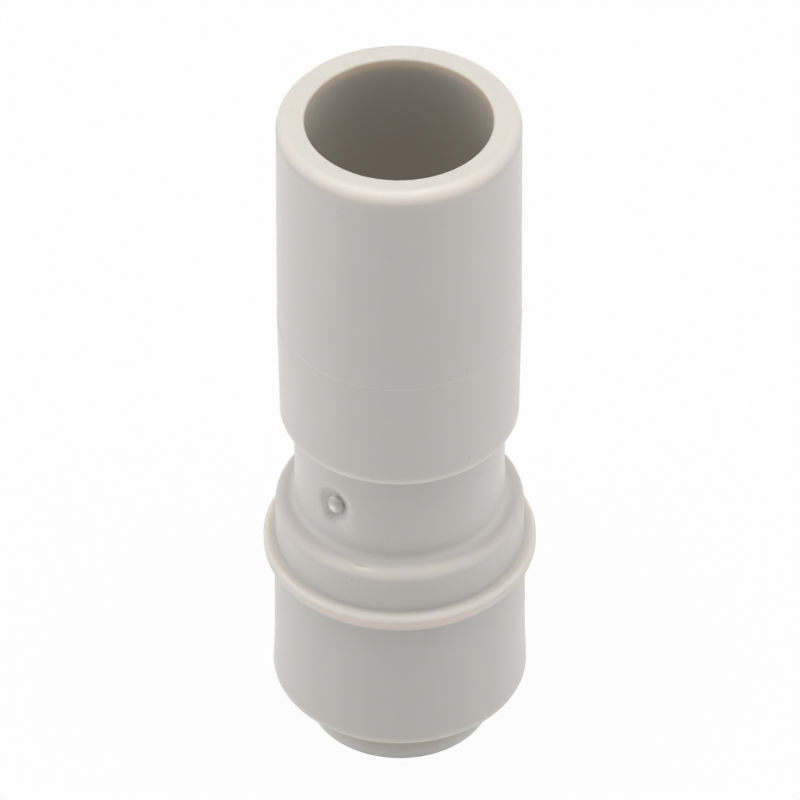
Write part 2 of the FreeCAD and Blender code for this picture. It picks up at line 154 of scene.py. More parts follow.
# %% [markdown]
# ## Rounded outlines
#
# A turned part is described by its outline, as a draughtsman would draw it: a list of corners, each with
# the radius of its rounding. Sharp corners look false in a render, because a real edge always catches a
# thin line of light. One function turns the corners into points, with an arc at each rounding. It also
# leaves a pair of points just outside every arc. They hold the shading, so that the flat run beside a
# rounding stays flat to the eye.

# %% A closed outline with rounded corners
arc_turn = math.radians(9)
hold_share = 0.12
smallest_reach = 1e-8


def rounding_reach(corners, index):
    """How far along both runs a corner's rounding reaches, and the angle that the outline turns by."""
    across, up, rounding = corners[index]
    corner = Vector((across, up))
    before = Vector(corners[index - 1][:2]) - corner
    after = Vector(corners[(index + 1) % len(corners)][:2]) - corner
    turn = math.pi - before.angle(after)
    return rounding * math.tan(turn / 2), turn


def rounded_outline(corners):
    """The points of a closed outline given by (radius, height, rounding) corners."""
    count = len(corners)
    reaches = [rounding_reach(corners, index) for index in range(count)]
    points = []
    for index, (across, up, rounding) in enumerate(corners):
        corner = Vector((across, up))
        reach, turn = reaches[index]
        if reach < smallest_reach:
            points.append(corner)
            continue
        ways = []
        for neighbour in (index - 1, (index + 1) % count):
            way = Vector(corners[neighbour][:2]) - corner
            free = way.length - reach - reaches[neighbour][0]
            hold = min(hold_share * reach, free / 3)
            ways.append((way.normalized(), hold))
        (before, hold_before), (after, hold_after) = ways
        centre = corner + (before + after).normalized() * rounding / math.cos(turn / 2)
        start = corner + before * reach - centre
        finish = corner + after * reach - centre
        side = 1 if start.x * finish.y - start.y * finish.x > 0 else -1
        steps = max(2, round(turn / arc_turn))
        points.append(corner + before * (reach + hold_before))
        for step in range(steps + 1):
            swing = side * turn * step / steps
            cosine, sine = math.cos(swing), math.sin(swing)
            spoke = Vector((start.x * cosine - start.y * sine, start.x * sine + start.y * cosine))
            points.append(centre + spoke)
        points.append(corner + after * (reach + hold_after))
    return points


square = [(1, 0, 0.2), (2, 0, 0.2), (2, 1, 0.2), (1, 1, 0.2)]
print("a square with rounded corners:", len(rounded_outline(square)), "points")

# %% [markdown]
# ## Turning an outline with Geometry Nodes
#
# Spin or the Screw modifier would turn an outline, but a Geometry Nodes tree shows the rule itself. A
# grid has one column for each step round the axis and one row for each point of the outline. Every grid
# vertex takes its place from the outline's point of the same row, turned by its column's angle. The
# last column meets the first one, and merging by distance closes the seam.

# %% A small helper for building node trees
class NodeTree:
    """Adds nodes to a tree in one call each: the type, its settings, then its inputs by name or number."""

    def __init__(self, tree):
        self.tree = tree

    def add(self, kind, settings=None, inputs=None):
        """Makes one node and returns it."""
        node = self.tree.nodes.new(kind)
        for name, setting in (settings or {}).items():
            setattr(node, name, setting)
        for key, value in (inputs or {}).items():
            self.feed(node.inputs[key], value)
        return node

    def feed(self, socket, value):
        """Links a socket or sets its value."""
        value = getattr(value, "socket", value)
        if isinstance(value, bpy.types.NodeSocket):
            self.tree.links.new(value, socket)
        else:
            socket.default_value = value

    def math(self, operation, *values):
        """The result of one Math node."""
        return self.add("ShaderNodeMath", {"operation": operation}, dict(enumerate(values))).outputs[0]


print("node helper:", NodeTree.__doc__)


# %% The two ends of a Geometry Nodes tree
def geometry_tree(name, **inputs):
    """A Geometry Nodes tree with a geometry socket at each end and the named inputs between."""
    tree = bpy.data.node_groups.new(name, "GeometryNodeTree")
    tree.interface.new_socket("Geometry", in_out="INPUT", socket_type="NodeSocketGeometry")
    for label, kind in inputs.items():
        title = label.replace("_", " ").capitalize()
        tree.interface.new_socket(title, in_out="INPUT", socket_type=f"NodeSocket{kind}")
    tree.interface.new_socket("Geometry", in_out="OUTPUT", socket_type="NodeSocketGeometry")
    helper = NodeTree(tree)
    return helper, helper.add("NodeGroupInput").outputs, helper.add("NodeGroupOutput").inputs


def sharpen_and_paint(tree, mesh, material, smooth_angle):
    """The end of each tree: smooth faces, sharp edges where the surface turns, realized, with a material."""
    smooth = tree.add("GeometryNodeSetShadeSmooth", inputs={"Geometry": mesh})
    bend = tree.add("GeometryNodeInputMeshEdgeAngle").outputs["Unsigned Angle"]
    sharp = tree.add("FunctionNodeCompare", {"data_type": "FLOAT", "operation": "GREATER_THAN"},
                     {"A": bend, "B": smooth_angle})
    edges = tree.add("GeometryNodeSetShadeSmooth", {"domain": "EDGE"},
                     {"Geometry": smooth.outputs[0], "Selection": sharp.outputs[0],
                      "Shade Smooth": False})
    real = tree.add("GeometryNodeRealizeInstances", inputs={"Geometry": edges.outputs[0]})
    return tree.add("GeometryNodeSetMaterial",
                    inputs={"Geometry": real.outputs[0], "Material": material}).outputs[0]


print("tree helper:", geometry_tree.__doc__)

# %% The turning tree
merge_reach = 1e-7


def make_turning_tree():
    """Turns a closed outline about the Z axis."""
    tree, given, result = geometry_tree("turn_outline", steps="Int", smooth_angle="Float",
                                        material="Material")
    outline = given["Geometry"]
    rows = tree.add("GeometryNodeAttributeDomainSize", inputs={"Geometry": outline}).outputs[0]
    grid_rows = tree.math("ADD", rows, 1.0)
    columns = tree.math("ADD", given["Steps"], 1.0)
    grid = tree.add("GeometryNodeMeshGrid", inputs={"Vertices X": columns, "Vertices Y": grid_rows})
    index = tree.add("GeometryNodeInputIndex").outputs[0]
    row = tree.math("MODULO", index, grid_rows)
    place = tree.math("MODULO", row, rows)
    column = tree.math("FLOOR", tree.math("DIVIDE", index, grid_rows))
    step = tree.math("DIVIDE", math.tau, given["Steps"])
    angle = tree.math("MULTIPLY", column, step)
    position = tree.add("GeometryNodeInputPosition").outputs[0]
    point = tree.add("GeometryNodeSampleIndex", {"data_type": "FLOAT_VECTOR"},
                     {"Geometry": outline, "Value": position, "Index": place}).outputs[0]
    turned = tree.add("ShaderNodeVectorRotate", {"rotation_type": "Z_AXIS"},
                      {"Vector": point, "Angle": angle}).outputs[0]
    placed = tree.add("GeometryNodeSetPosition",
                      inputs={"Geometry": grid.outputs["Mesh"], "Position": turned}).outputs[0]
    closed = tree.add("GeometryNodeMergeByDistance",
                      inputs={"Geometry": placed, "Distance": merge_reach}).outputs[0]
    painted = sharpen_and_paint(tree, closed, given["Material"], given["Smooth angle"])
    tree.feed(result[0], painted)
    return tree.tree


turning_tree = make_turning_tree()
print("turning tree:", len(turning_tree.nodes), "nodes")


# %% Running a tree on a mesh
def face_outwards(shape):
    """Makes every face of a closed mesh point outwards."""
    bmesh.ops.recalc_face_normals(shape, faces=shape.faces)
    if shape.calc_volume(signed=True) < 0:
        bmesh.ops.reverse_faces(shape, faces=shape.faces)


def plain_object(name, mesh):
    """A new object at the origin with this mesh."""
    thing = bpy.data.objects.new(name, mesh)
    bpy.context.scene.collection.objects.link(thing)
    return thing


def grown(name, seed, tree, **inputs):
    """Runs a Geometry Nodes tree on a seed mesh and keeps the result as a plain mesh object."""
    source = plain_object(f"{name}_seed", seed)
    modifier = source.modifiers.new("grow", "NODES")
    modifier.node_group = tree
    sockets = {item.name: item.identifier for item in tree.interface.items_tree}
    for label, value in inputs.items():
        modifier[sockets[label.replace("_", " ").capitalize()]] = value
    bpy.context.view_layer.update()
    depsgraph = bpy.context.evaluated_depsgraph_get()
    mesh = bpy.data.meshes.new_from_object(source.evaluated_get(depsgraph), depsgraph=depsgraph)
    mesh.name = name
    bpy.data.objects.remove(source)
    shape = bmesh.new()
    shape.from_mesh(mesh)
    face_outwards(shape)
    shape.to_mesh(mesh)
    shape.free()
    return plain_object(name, mesh)


def outline_mesh(name, points):
    """A mesh that holds an outline's points in the XZ plane."""
    mesh = bpy.data.meshes.new(name)
    mesh.from_pydata([(point.x, 0, point.y) for point in points], [], [])
    return mesh


print("a tree's result becomes a plain mesh:", grown.__doc__)

# %% [markdown]
# ## Finishes
# The plastic, the rubber and the steel here are quiet: their colour hardly changes, and what makes them
# look real is how light spreads over them. Acetal is a waxy, slightly translucent plastic. Light that
# enters a thin edge comes out warmer beside it, which is why the rims of the real part look warm. A
# little subsurface scattering gives a part of that, and painted light in the colour gives the rest. A very
# fine grain breaks up the reflections, and a part of that grain is drawn out along the axis, the way the
# fitting leaves its mould.
#
# Sums on shader sockets are easier to read as sums. A small class wraps a socket, and each operator
# adds its Math node.

# %% Sums on shader sockets
class Sum:
    """A shader socket that can be added, multiplied and compared in plain Python."""

    def __init__(self, tree, socket):
        self.tree = tree
        self.socket = socket

    def math(self, operation, *others):
        """One Math node, with this socket first."""
        return Sum(self.tree, self.tree.math(operation, self, *others))

    def __add__(self, other):
        return self.math("ADD", other)

    def __sub__(self, other):
        return self.math("SUBTRACT", other)

    def __rsub__(self, other):
        return self * -1 + other

    def __mul__(self, other):
        return self.math("MULTIPLY", other)

    __radd__ = __add__
    __rmul__ = __mul__

    def over(self, edge, softness):
        """Rises from 0 to 1 as the value passes an edge."""
        node = self.tree.add("ShaderNodeMapRange", {"interpolation_type": "SMOOTHSTEP"},
                             {"Value": self, "From Min": edge - softness, "From Max": edge + softness})
        return Sum(self.tree, node.outputs[0])


print("sums:", Sum.__doc__)


# %% A finish and its masks
class Finish(NodeTree):
    """A material with one Principled shader, built from Object coordinates."""

    def __init__(self, name):
        self.material = bpy.data.materials.new(name)
        self.material.use_nodes = True
        super().__init__(self.material.node_tree)
        self.tree.nodes.clear()
        self.place = self.add("ShaderNodeTexCoord").outputs["Object"]

    def noise(self, scale, detail=2.0, stretch=(1, 1, 1)):
        """A noise of about 0 to 1 with that many lumps in a metre, stretched along the axes."""
        mapped = self.add("ShaderNodeMapping", inputs={"Vector": self.place, "Scale": stretch})
        node = self.add("ShaderNodeTexNoise", inputs={"Vector": mapped.outputs[0], "Scale": scale,
                                                      "Detail": detail})
        return Sum(self, node.outputs[0])

    def height(self):
        """The height of the point that is shaded."""
        return Sum(self, self.add("ShaderNodeSeparateXYZ", inputs={0: self.place}).outputs[2])

    def radius(self):
        """The distance of that point from the axis."""
        flat = self.add("ShaderNodeVectorMath", {"operation": "MULTIPLY"}, {0: self.place, 1: (1, 1, 0)})
        length = self.add("ShaderNodeVectorMath", {"operation": "LENGTH"}, {0: flat.outputs[0]})
        return Sum(self, length.outputs["Value"])

    def turned(self):
        """How far round the axis the point lies, -1 at the front, 0 at the sides and 1 at the back."""
        depth = Sum(self, self.add("ShaderNodeSeparateXYZ", inputs={0: self.place}).outputs[1])
        return depth.math("DIVIDE", self.radius())

    # at_front and at_sides serve to paint light and shade by which way a surface faces
    def at_front(self):
        """1 at the front of the fitting, falling to 0 at its flanks."""
        return 1 - self.turned().over(-0.80, 0.22)

    def at_sides(self):
        """1 at the left and right side of the fitting, falling to 0 at its front and back."""
        return 1 - self.turned().math("ABSOLUTE").over(0.75, 0.35)

    def near_ring(self, radius, height, reach):
        """1 on a circle round the axis, falling to 0 at a reach from it."""
        across = self.radius() - radius
        up = self.height() - height
        square = across * across + up * up
        return 1 - square.math("SQRT").over(reach / 2, reach / 2)

    def away_from(self, point):
        """The distance from a point."""
        node = self.add("ShaderNodeVectorMath", {"operation": "DISTANCE"}, {0: self.place, 1: point})
        return Sum(self, node.outputs["Value"])

    def near_point(self, point, reach):
        """1 at a point, falling to 0 at a reach from it."""
        return 1 - self.away_from(point).over(reach / 2, reach / 2)

    def near_arc(self, middle, radius, width, side, reach):
        """1 on the part of a circle round a point that lies near another point, its side."""
        off = (self.away_from(middle) - radius).math("ABSOLUTE")
        return (1 - off.over(width / 2, width / 2)) * self.near_point(side, reach)

    def tint(self, colour, other, share):
        """A mix of two colours by a share of the second."""
        node = self.add("ShaderNodeMix", {"data_type": "RGBA"})
        self.feed(node.inputs[0], share)
        self.feed(node.inputs[6], colour)
        self.feed(node.inputs[7], other)
        return node.outputs[2]

    def bump(self, height, distance):
        """A bumped normal from a height."""
        node = self.add("ShaderNodeBump", inputs={"Height": height, "Distance": distance,
                                                  "Strength": 1.0})
        return node.outputs[0]

    def shade(self, inputs):
        """Ends the material in a Principled shader with these inputs."""
        shader = self.add("ShaderNodeBsdfPrincipled", inputs=inputs)
        self.add("ShaderNodeOutputMaterial", inputs={"Surface": shader.outputs[0]})
        return self.material


print("finishes:", Finish.__doc__)

# %% [markdown]
# The body's plastic is a light warm grey. Light gathers in its free edges, so the heel of the stem, the
# shoulder's edge and the thin collar look a little lighter and duller than the walls beside them.
# Scattering gives a part of that, and a mask round each of these circles gives the rest as painted light.
# Other rings paint shade into corners, and most rings are painted lighter or darker at the front than at
# the flanks. The stem is painted a little lighter than the socket. Inside the bore the light has gone
# through the wall and looks warmer: the bore carries painted shade, painted light and a painted glow at
# its edge. The neck was polished smoother in the mould than the stem. Round the broken gate, the dish and
# the stub carry painted light and painted shade, and a painted shadow lies in the crevice beside the stub.
# A painted highlight with painted shade beside it stands for a glint on the shoulder's edge.

# %% Acetal
cloud_scale = 140
grain_scale = 9000
drawn_scale = 2600
speck_scale = 4200
cloud_share = 0.04
speck_colour = (0.20, 0.16, 0.12, 1)
# painted shade near the top of the bore, painted light deeper down and at its sides, and a painted glow at
# its edge
bore_top_painted_shade = (0.430, 0.400, 0.360, 1)
bore_deep_painted_light = (0.590, 0.543, 0.480, 1)
bore_side_painted_light = (0.62, 0.57, 0.50, 1)
bore_edge_painted_glow = (0.72, 0.57, 0.43, 1)


def clouds_and_painted_light(finish, colour):
    """The plastic's colour with faint clouds, and painted light that makes the stem a little lighter than the
    socket.
    """
    lighter = tuple(channel * (1 + cloud_share) for channel in colour) + (1,)
    darker = tuple(channel * (1 - cloud_share) for channel in colour) + (1,)
    # painted light: the stem is made a little lighter than the socket
    stem_painted_light = finish.height().over(collar_top + 3 * mm, 4 * mm)
    clouds = finish.noise(cloud_scale, detail=3)
    return finish.tint(darker, lighter, clouds * 0.6 + stem_painted_light * 0.6 - 0.1)


def with_painted_bore_light(finish, base):
    """The colour with painted shade in the stem's bore, painted light where light comes through its wall and
    at its sides, and a painted glow at its edge.
    """
    in_bore = 1 - finish.radius().over(stem_bore + 0.22 * mm, 0.15 * mm)
    deep = 1 - finish.height().over(stem_end - 5.0 * mm, 4.5 * mm)
    bore = finish.tint(bore_top_painted_shade, bore_deep_painted_light, deep)
    bore = finish.tint(bore, bore_side_painted_light, finish.at_sides() * 0.48)
    base = finish.tint(base, bore, in_bore)
    at_edge = finish.near_ring(stem_bore, stem_end - 0.32 * mm, 0.46 * mm)
    return finish.tint(base, bore_edge_painted_glow, at_edge * 0.8)


def acetal(name, colour, rings, marks):
    """Satin moulded acetal, with painted light and shade in rings and marks, the fine grain of its mould and
    a few dark specks.
    """
    finish = Finish(name)
    base = with_painted_bore_light(finish, clouds_and_painted_light(finish, colour))
    dullness = finish.noise(grain_scale, detail=1) * 0.05 + 0.33
    # each ring paints light or shade into the colour, and makes the surface duller
    for radius, height, reach, front_painted, flank_painted, duller in rings:
        ring = finish.near_ring(radius, height, reach)
        ring_painted_colour = finish.tint(flank_painted, front_painted, finish.at_front())
        base = finish.tint(base, ring_painted_colour, ring)
        dullness = dullness + ring * duller
    height = finish.height()
    at_neck = height.over(shoulder_top + 0.9 * mm, 0.5 * mm) - height.over(stem_foot, 0.1 * mm)
    specks = finish.noise(speck_scale, detail=0).over(0.89, 0.02)
    base = finish.tint(base, speck_colour, specks * (1 - at_neck) * 0.20)
    # the marks paint light, shade and shadow into the colour
    for mask, mark_painted_colour, share in marks(finish):
        base = finish.tint(base, mark_painted_colour, mask * share)
    grain = finish.noise(grain_scale, detail=1)
    drawn = finish.noise(drawn_scale, detail=1, stretch=(1, 1, 0.03))
    relief = finish.bump((grain * 0.6 + drawn * 0.4) * (1 - at_neck), 0.0015 * mm)
    return finish.shade({"Base Color": base, "Roughness": dullness - at_neck * 0.07, "Normal": relief,
                         "Subsurface Weight": 0.70, "Subsurface Radius": (1.25, 1.0, 0.8),
                         "Subsurface Scale": 1.0 * mm})


print(f"clouds {1000 / cloud_scale:.1f} mm across, grain {1000 / grain_scale:.2f} mm across")


# %% Rubber and steel
def seal_rubber():
    """Black rubber, matt with a faint bloom."""
    finish = Finish("black_rubber")
    bloom = finish.noise(900, detail=3)
    base = finish.tint((0.018, 0.018, 0.020, 1), (0.035, 0.034, 0.034, 1), bloom)
    relief = finish.bump(finish.noise(7000), 0.003 * mm)
    return finish.shade({"Base Color": base, "Roughness": 0.46 + bloom * 0.2, "Normal": relief})


def tooth_steel():
    """Stainless strip, brushed along its length by rolling."""
    finish = Finish("stainless_strip")
    rolled = finish.noise(9000, stretch=(1, 1, 0.08))
    base = finish.tint((0.50, 0.50, 0.49, 1), (0.66, 0.65, 0.63, 1), rolled)
    relief = finish.bump(rolled, 0.002 * mm)
    return finish.shade({"Base Color": base, "Roughness": 0.24 + rolled * 0.16, "Metallic": 1.0,
                         "Normal": relief})


rubber = seal_rubber()
steel = tooth_steel()
print("finishes:", rubber.name, "and", steel.name)

# %% The rings of painted light and shade round the body
plain = Vector((0.585, 0.566, 0.540))


def tinted(red, green, blue):
    """The body's plain colour with each channel changed by a factor."""
    return (plain.x * red, plain.y * green, plain.z * blue, 1)


collar_middle = (collar_underside + collar_top) / 2
body_painted_light_and_shade = [
    # radius, height and reach of each ring, its painted light or shade at the front and at the flanks, how
    # much duller it is
    # painted shade: the top face of the rim a little darker and warmer
    (rim_radius - 0.80 * mm, stem_end, 1.60 * mm, tinted(0.965, 0.945, 0.905), tinted(0.965, 0.945, 0.90), 0),
    # painted light on the front of the rim's outer edge, painted shade at its flanks
    (rim_radius - 0.05 * mm, stem_end - 0.35 * mm, 0.80 * mm, tinted(1.13, 1.09, 1.055),
     tinted(0.97, 0.94, 0.915), 0.22),
    # painted highlight on the parting line, at the front only
    (stem_radius, parting_height, 0.12 * mm, tinted(1.08, 1.08, 1.07), tinted(1.00, 1.00, 1.00), 0),
    # painted light along the heel of the stem, stronger at the front
    (heel_radius, stem_foot + 0.10 * mm, 0.50 * mm, tinted(1.28, 1.28, 1.26), tinted(1.19, 1.19, 1.18), 0.12),
    # painted shade at the front of the shoulder's ledge, painted light at its flanks
    (neck_radius + 0.30 * mm, shoulder_top + 0.15 * mm, 0.90 * mm, tinted(0.97, 0.96, 0.955),
     tinted(1.08, 1.08, 1.08), 0.15),
    # painted shade in the root of the neck at the front
    (neck_radius + 0.04 * mm, shoulder_top + 0.55 * mm, 0.50 * mm, tinted(0.93, 0.92, 0.915),
     tinted(1.01, 1.01, 1.01), 0.04),
    # painted light at the front of the shoulder's edge, painted shade at its flanks
    (shoulder_radius - 0.30 * mm, shoulder_top - 0.05 * mm, 0.95 * mm, tinted(1.06, 1.04, 1.00),
     tinted(0.84, 0.83, 0.81), 0.20),
    # painted warm light on the collar's rim, strongest at the front
    (collar_radius, collar_middle, 0.60 * mm, tinted(1.21, 1.11, 1.07), tinted(1.06, 1.05, 1.02), 0.18),
    # painted light at the front of the collar's top edge, painted shade at its flanks
    (collar_radius - 0.35 * mm, collar_top, 0.45 * mm, tinted(1.07, 1.05, 1.00),
     tinted(0.98, 0.94, 0.90), 0.40),
    # painted shade in the corner where the collar meets the shoulder
    (shoulder_radius + 0.04 * mm, collar_top, 0.30 * mm, tinted(0.90, 0.89, 0.84),
     tinted(0.93, 0.92, 0.88), 0.10),
    # painted light along the edge of the mouth
    (mouth_radius, mouth_face, 0.60 * mm, tinted(1.25, 1.22, 1.14), tinted(1.14, 1.12, 1.09), 0.10),
]
collet_plain = (0.530, 0.534, 0.485)
# painted light round the collet's foot
foot_painted_light = (0.81, 0.81, 0.75, 1)
collet_painted_light = [
    (head_radius, 0, 1.00 * mm, foot_painted_light, foot_painted_light, 0.10),
]
print("rings of light:", len(body_painted_light_and_shade), "on the body and", len(collet_painted_light), "on the collet")

# %% The painted light and shade of the gate mark and the glint
# painted highlight colour for a glint on the shoulder's edge
painted_glint_colour = (0.95, 0.91, 0.80, 1)
# painted light and shade of the gate's stub, and the painted shadow in the crevice beside it
stub_painted_light = (0.84, 0.81, 0.72, 1)
stub_painted_shade = (0.34, 0.33, 0.29, 1)
crevice_painted_shadow = (0.22, 0.205, 0.17, 1)
crevice_shade_scale = 4200
glint_bearing, glint_shade_bearing = 17, 19.5
# how far the stub stands from the middle of its dish
stub_across, stub_up = 0.01 * mm, 0.05 * mm
stub_middle = on_neck(stub_across, stub_up, 0)
torn_side = on_neck(stub_across + 0.20 * mm, stub_up + 0.44 * mm, 0)
stub_shaded_side = on_neck(stub_across + 0.32 * mm, stub_up + 0.26 * mm, 0)
stub_lit_side = on_neck(stub_across - 0.12 * mm, stub_up - 0.22 * mm, 0)
shaded_side = on_neck(-0.30 * mm, -0.70 * mm, 0)
bright_side = on_neck(0.60 * mm, 0.75 * mm, 0)
wide_side = on_neck(0.80 * mm, -0.90 * mm, 0)
glint_radius, glint_height = shoulder_radius - 0.30 * mm, shoulder_top - 0.05 * mm


def on_shoulder(degrees):
    """The point of the shoulder's edge at an angle to the left of the front."""
    turn = math.radians(degrees)
    return Vector((-math.sin(turn) * glint_radius, -math.cos(turn) * glint_radius, glint_height))


def body_painted_marks(finish):
    """The mask, colour and strength of each mark: painted light and shade on the gate's dish and stub, a
    painted shadow in its crevice, and a painted glint on the shoulder.
    """
    crevice_shade_breaks = finish.noise(crevice_shade_scale, detail=1).over(0.45, 0.14)
    painted_glint = finish.near_ring(glint_radius + 0.05 * mm, glint_height - 0.03 * mm, 0.16 * mm)
    painted_glint_shade = finish.near_ring(glint_radius - 0.09 * mm, glint_height + 0.03 * mm, 0.12 * mm)
    return [
        # painted highlight: a glint on the shoulder's edge
        (painted_glint * finish.near_point(on_shoulder(glint_bearing), 1.00 * mm), painted_glint_colour, 0.42),
        # painted shade just above the glint
        (painted_glint_shade * finish.near_point(on_shoulder(glint_shade_bearing), 0.60 * mm),
         tinted(0.62, 0.61, 0.55), 0.60),
        # painted light on the dish's lower right side
        (finish.near_point(wide_side, 1.00 * mm), tinted(1.12, 1.12, 1.12), 0.60),
        # painted highlight along the dish's upper right rim
        (finish.near_arc(on_neck(0, 0, 0), 1.12 * mm, 0.26 * mm, bright_side, 1.40 * mm),
         tinted(1.20, 1.20, 1.20), 0.80),
        # painted shade over the whole dish
        (finish.near_point(on_neck(0, 0, 0), 1.40 * mm), tinted(0.80, 0.80, 0.79), 0.80),
        # painted shadow at the lower left of the dish, below the stub
        (finish.near_point(shaded_side, 0.66 * mm), tinted(0.58, 0.59, 0.53), 0.75),
        # painted light on the stub's lower left
        (finish.near_point(stub_lit_side, 0.42 * mm), stub_painted_light, 0.90),
        # painted shade on the stub's upper right
        (finish.near_point(stub_shaded_side, 0.50 * mm), stub_painted_shade, 0.75),
        # painted shadow in the crevice at the stub's upper right, broken up by a noise
        (finish.near_arc(stub_middle, 0.57 * mm, 0.10 * mm, torn_side, 1.15 * mm),
         crevice_painted_shadow, crevice_shade_breaks * 0.80),
    ]


def no_marks(finish):
    """The collet has no marks in sight."""
    return []


body_acetal = acetal("moulded_acetal", tuple(plain), body_painted_light_and_shade, body_painted_marks)
collet_acetal = acetal("collet_moulding", collet_plain, collet_painted_light, no_marks)
print("finishes:", body_acetal.name, "and", collet_acetal.name)

# %% [markdown]
# ## The moulded body
#
# Stem, neck, shoulder, collar and socket are one moulding. Its outline runs up the outside from the
# mouth to the open end, then down through the bores. The two halves of the mould met at the parting
# line, where the stem is widest, and left a hair of flash there. From the parting line the stem loses a
# little radius towards both ends, so that each half of the mould could slide off.

# %% The outline of the body
flash_reach = 0.018 * mm
flash_half = 0.05 * mm
window_half = 1.80 * mm
neck_rows = 20


def neck_window_corners():
    """Extra rows on the neck for the gate mark, each a corner with no rounding."""
    low = gate_height - window_half
    pitch = 2 * window_half / neck_rows
    return [(neck_radius, low + pitch * row, 0) for row in range(neck_rows + 1)]


body_outside = [
    (mouth_radius, mouth_face, 0.25 * mm),
    (flare_radius, flare_height, 8 * mm),
    (socket_radius, collar_underside, 0.08 * mm),
    (collar_radius, collar_underside, 0.30 * mm),
    (collar_radius, collar_top, 0.24 * mm),
    (shoulder_radius, collar_top, 0.10 * mm),
    (shoulder_radius, shoulder_top, 0.60 * mm),
    (neck_radius, shoulder_top, 0.42 * mm),
    *neck_window_corners(),
    (neck_radius, stem_foot, 0.20 * mm),
    (heel_radius, stem_foot, 0.34 * mm),
    (heel_radius, stem_foot + 0.95 * mm, 4 * mm),
    (stem_radius, parting_height - 0.45 * mm, 4 * mm),
    (stem_radius, parting_height - flash_half, 0.01 * mm),
    (stem_radius + flash_reach, parting_height, 0.01 * mm),
    (stem_radius, parting_height + flash_half, 0.01 * mm),
    (stem_radius, parting_height + 0.45 * mm, 4 * mm),
    (rim_radius, stem_end - 1.40 * mm, 4 * mm),
    (rim_radius, stem_end, 0.58 * mm),
]
body_inside = [
    (stem_bore, stem_end, 0.16 * mm),
    (stem_bore_floor, neck_bore_top + step_height, 0.15 * mm),
    (neck_bore, neck_bore_top, 0.10 * mm),
    (neck_bore, funnel_top, 0.20 * mm),
    (waterway, web_top, 0.10 * mm),
    (waterway, tube_stop, 0.06 * mm),
    (tube_bore, tube_stop, 0.06 * mm),
    (tube_bore, seal_step + 0.20 * mm, 0.05 * mm),
    (tube_bore + 0.20 * mm, seal_step, 0.05 * mm),
    (seal_bore, seal_step, 0.10 * mm),
    (seal_bore, seal_floor, 0.05 * mm),
    (cavity, seal_floor, 0.05 * mm),
    (cavity, cam_top, 0.30 * mm),
    (mouth_bore, cam_foot, 0.30 * mm),
    (mouth_bore, mouth_face + 0.25 * mm, 0.05 * mm),
    (mouth_bore + 0.25 * mm, mouth_face, 0.05 * mm),
]
body_points = rounded_outline(body_outside + body_inside)
print("body outline:", len(body_points), "points")

# %% Turn the body
body_steps = 192
body_piece = grown("fitting_body", outline_mesh("body_outline", body_points), turning_tree,
                   steps=body_steps, smooth_angle=math.radians(50), material=body_acetal)
print("body:", len(body_piece.data.polygons), "faces")

# %% [markdown]
# ## The gate mark
#
# Plastic entered the mould at one spot on the neck, in the middle of a shallow dish that keeps the
# broken gate below the surface. The plastic sank a little round it as it cooled, and the gate left a
# stub with a slanting face, proud at its lower left and torn away at its upper right. A boolean cut
# would leave slivers that shade badly. Instead a window of faces is taken out of the neck and filled
# with rings of faces. The outer ring has the window's square shape, and the next ones are ovals, a
# little taller than wide. Every vertex of a ring then sinks by the depth of the mark at its distance
# and direction from the middle.

# %% The form of the gate mark
proud_side = Vector((-0.54, -0.84))
dish_width, dish_height = 0.94, 1.10
# a face belongs to the neck if its middle lies this close to the neck's radius
on_surface = 0.02 * mm
# from this distance inwards the rings move over, from the dish's middle to the stub's
shift_start, shift_span = 1.05, 0.45
mark_profile = [
    # distance from the middle, depth, how much less it is on the proud side, how much more where torn
    (1.58, 0.000, 0, 0),
    (1.44, 0.004, 0, 0),
    (1.32, 0.010, 0, 0),
    (1.22, 0.020, 0, 0),
    (1.13, 0.036, 0, 0),
    (1.07, 0.056, 0, 0),
    (1.02, 0.080, 0, 0),
    (0.96, 0.112, 0, 0),
    (0.90, 0.144, 0, 0),
    (0.83, 0.176, 0, 0),
    (0.75, 0.204, 0, 0),
    (0.68, 0.220, 0, 0.01),
    (0.62, 0.228, 0, 0.04),
    (0.57, 0.230, 0, 0.07),
    (0.53, 0.205, 0, 0.08),
    (0.50, 0.150, 0.02, 0.06),
    (0.47, 0.105, 0.04, 0.03),
    (0.43, 0.075, 0.05, 0.02),
    (0.34, 0.055, 0.05, 0),
    (0.22, 0.044, 0.03, 0),
    (0.10, 0.038, 0.015, 0),
]
deepest = max(depth + torn for distance, depth, slant, torn in mark_profile)
print(f"gate mark: {len(mark_profile)} rings, sunk by up to {deepest:.2f} mm")


# %% Cut the gate mark into the neck
def gate_place(point):
    """How far a point is across and up from the gate, along the neck's surface."""
    across = math.atan2(point.dot(gate_along), point.dot(gate_out)) * neck_radius
    return Vector((across, point.z - gate_height))


def loop_in_order(edges):
    """The vertices of a closed chain of edges, in order."""
    edges = set(edges)
    first = next(iter(edges))
    chain = [first.verts[0], first.verts[1]]
    edges.remove(first)
    while edges:
        following = next(edge for edge in chain[-1].link_edges if edge in edges)
        edges.remove(following)
        chain.append(following.other_vert(chain[-1]))
    return chain[:-1]


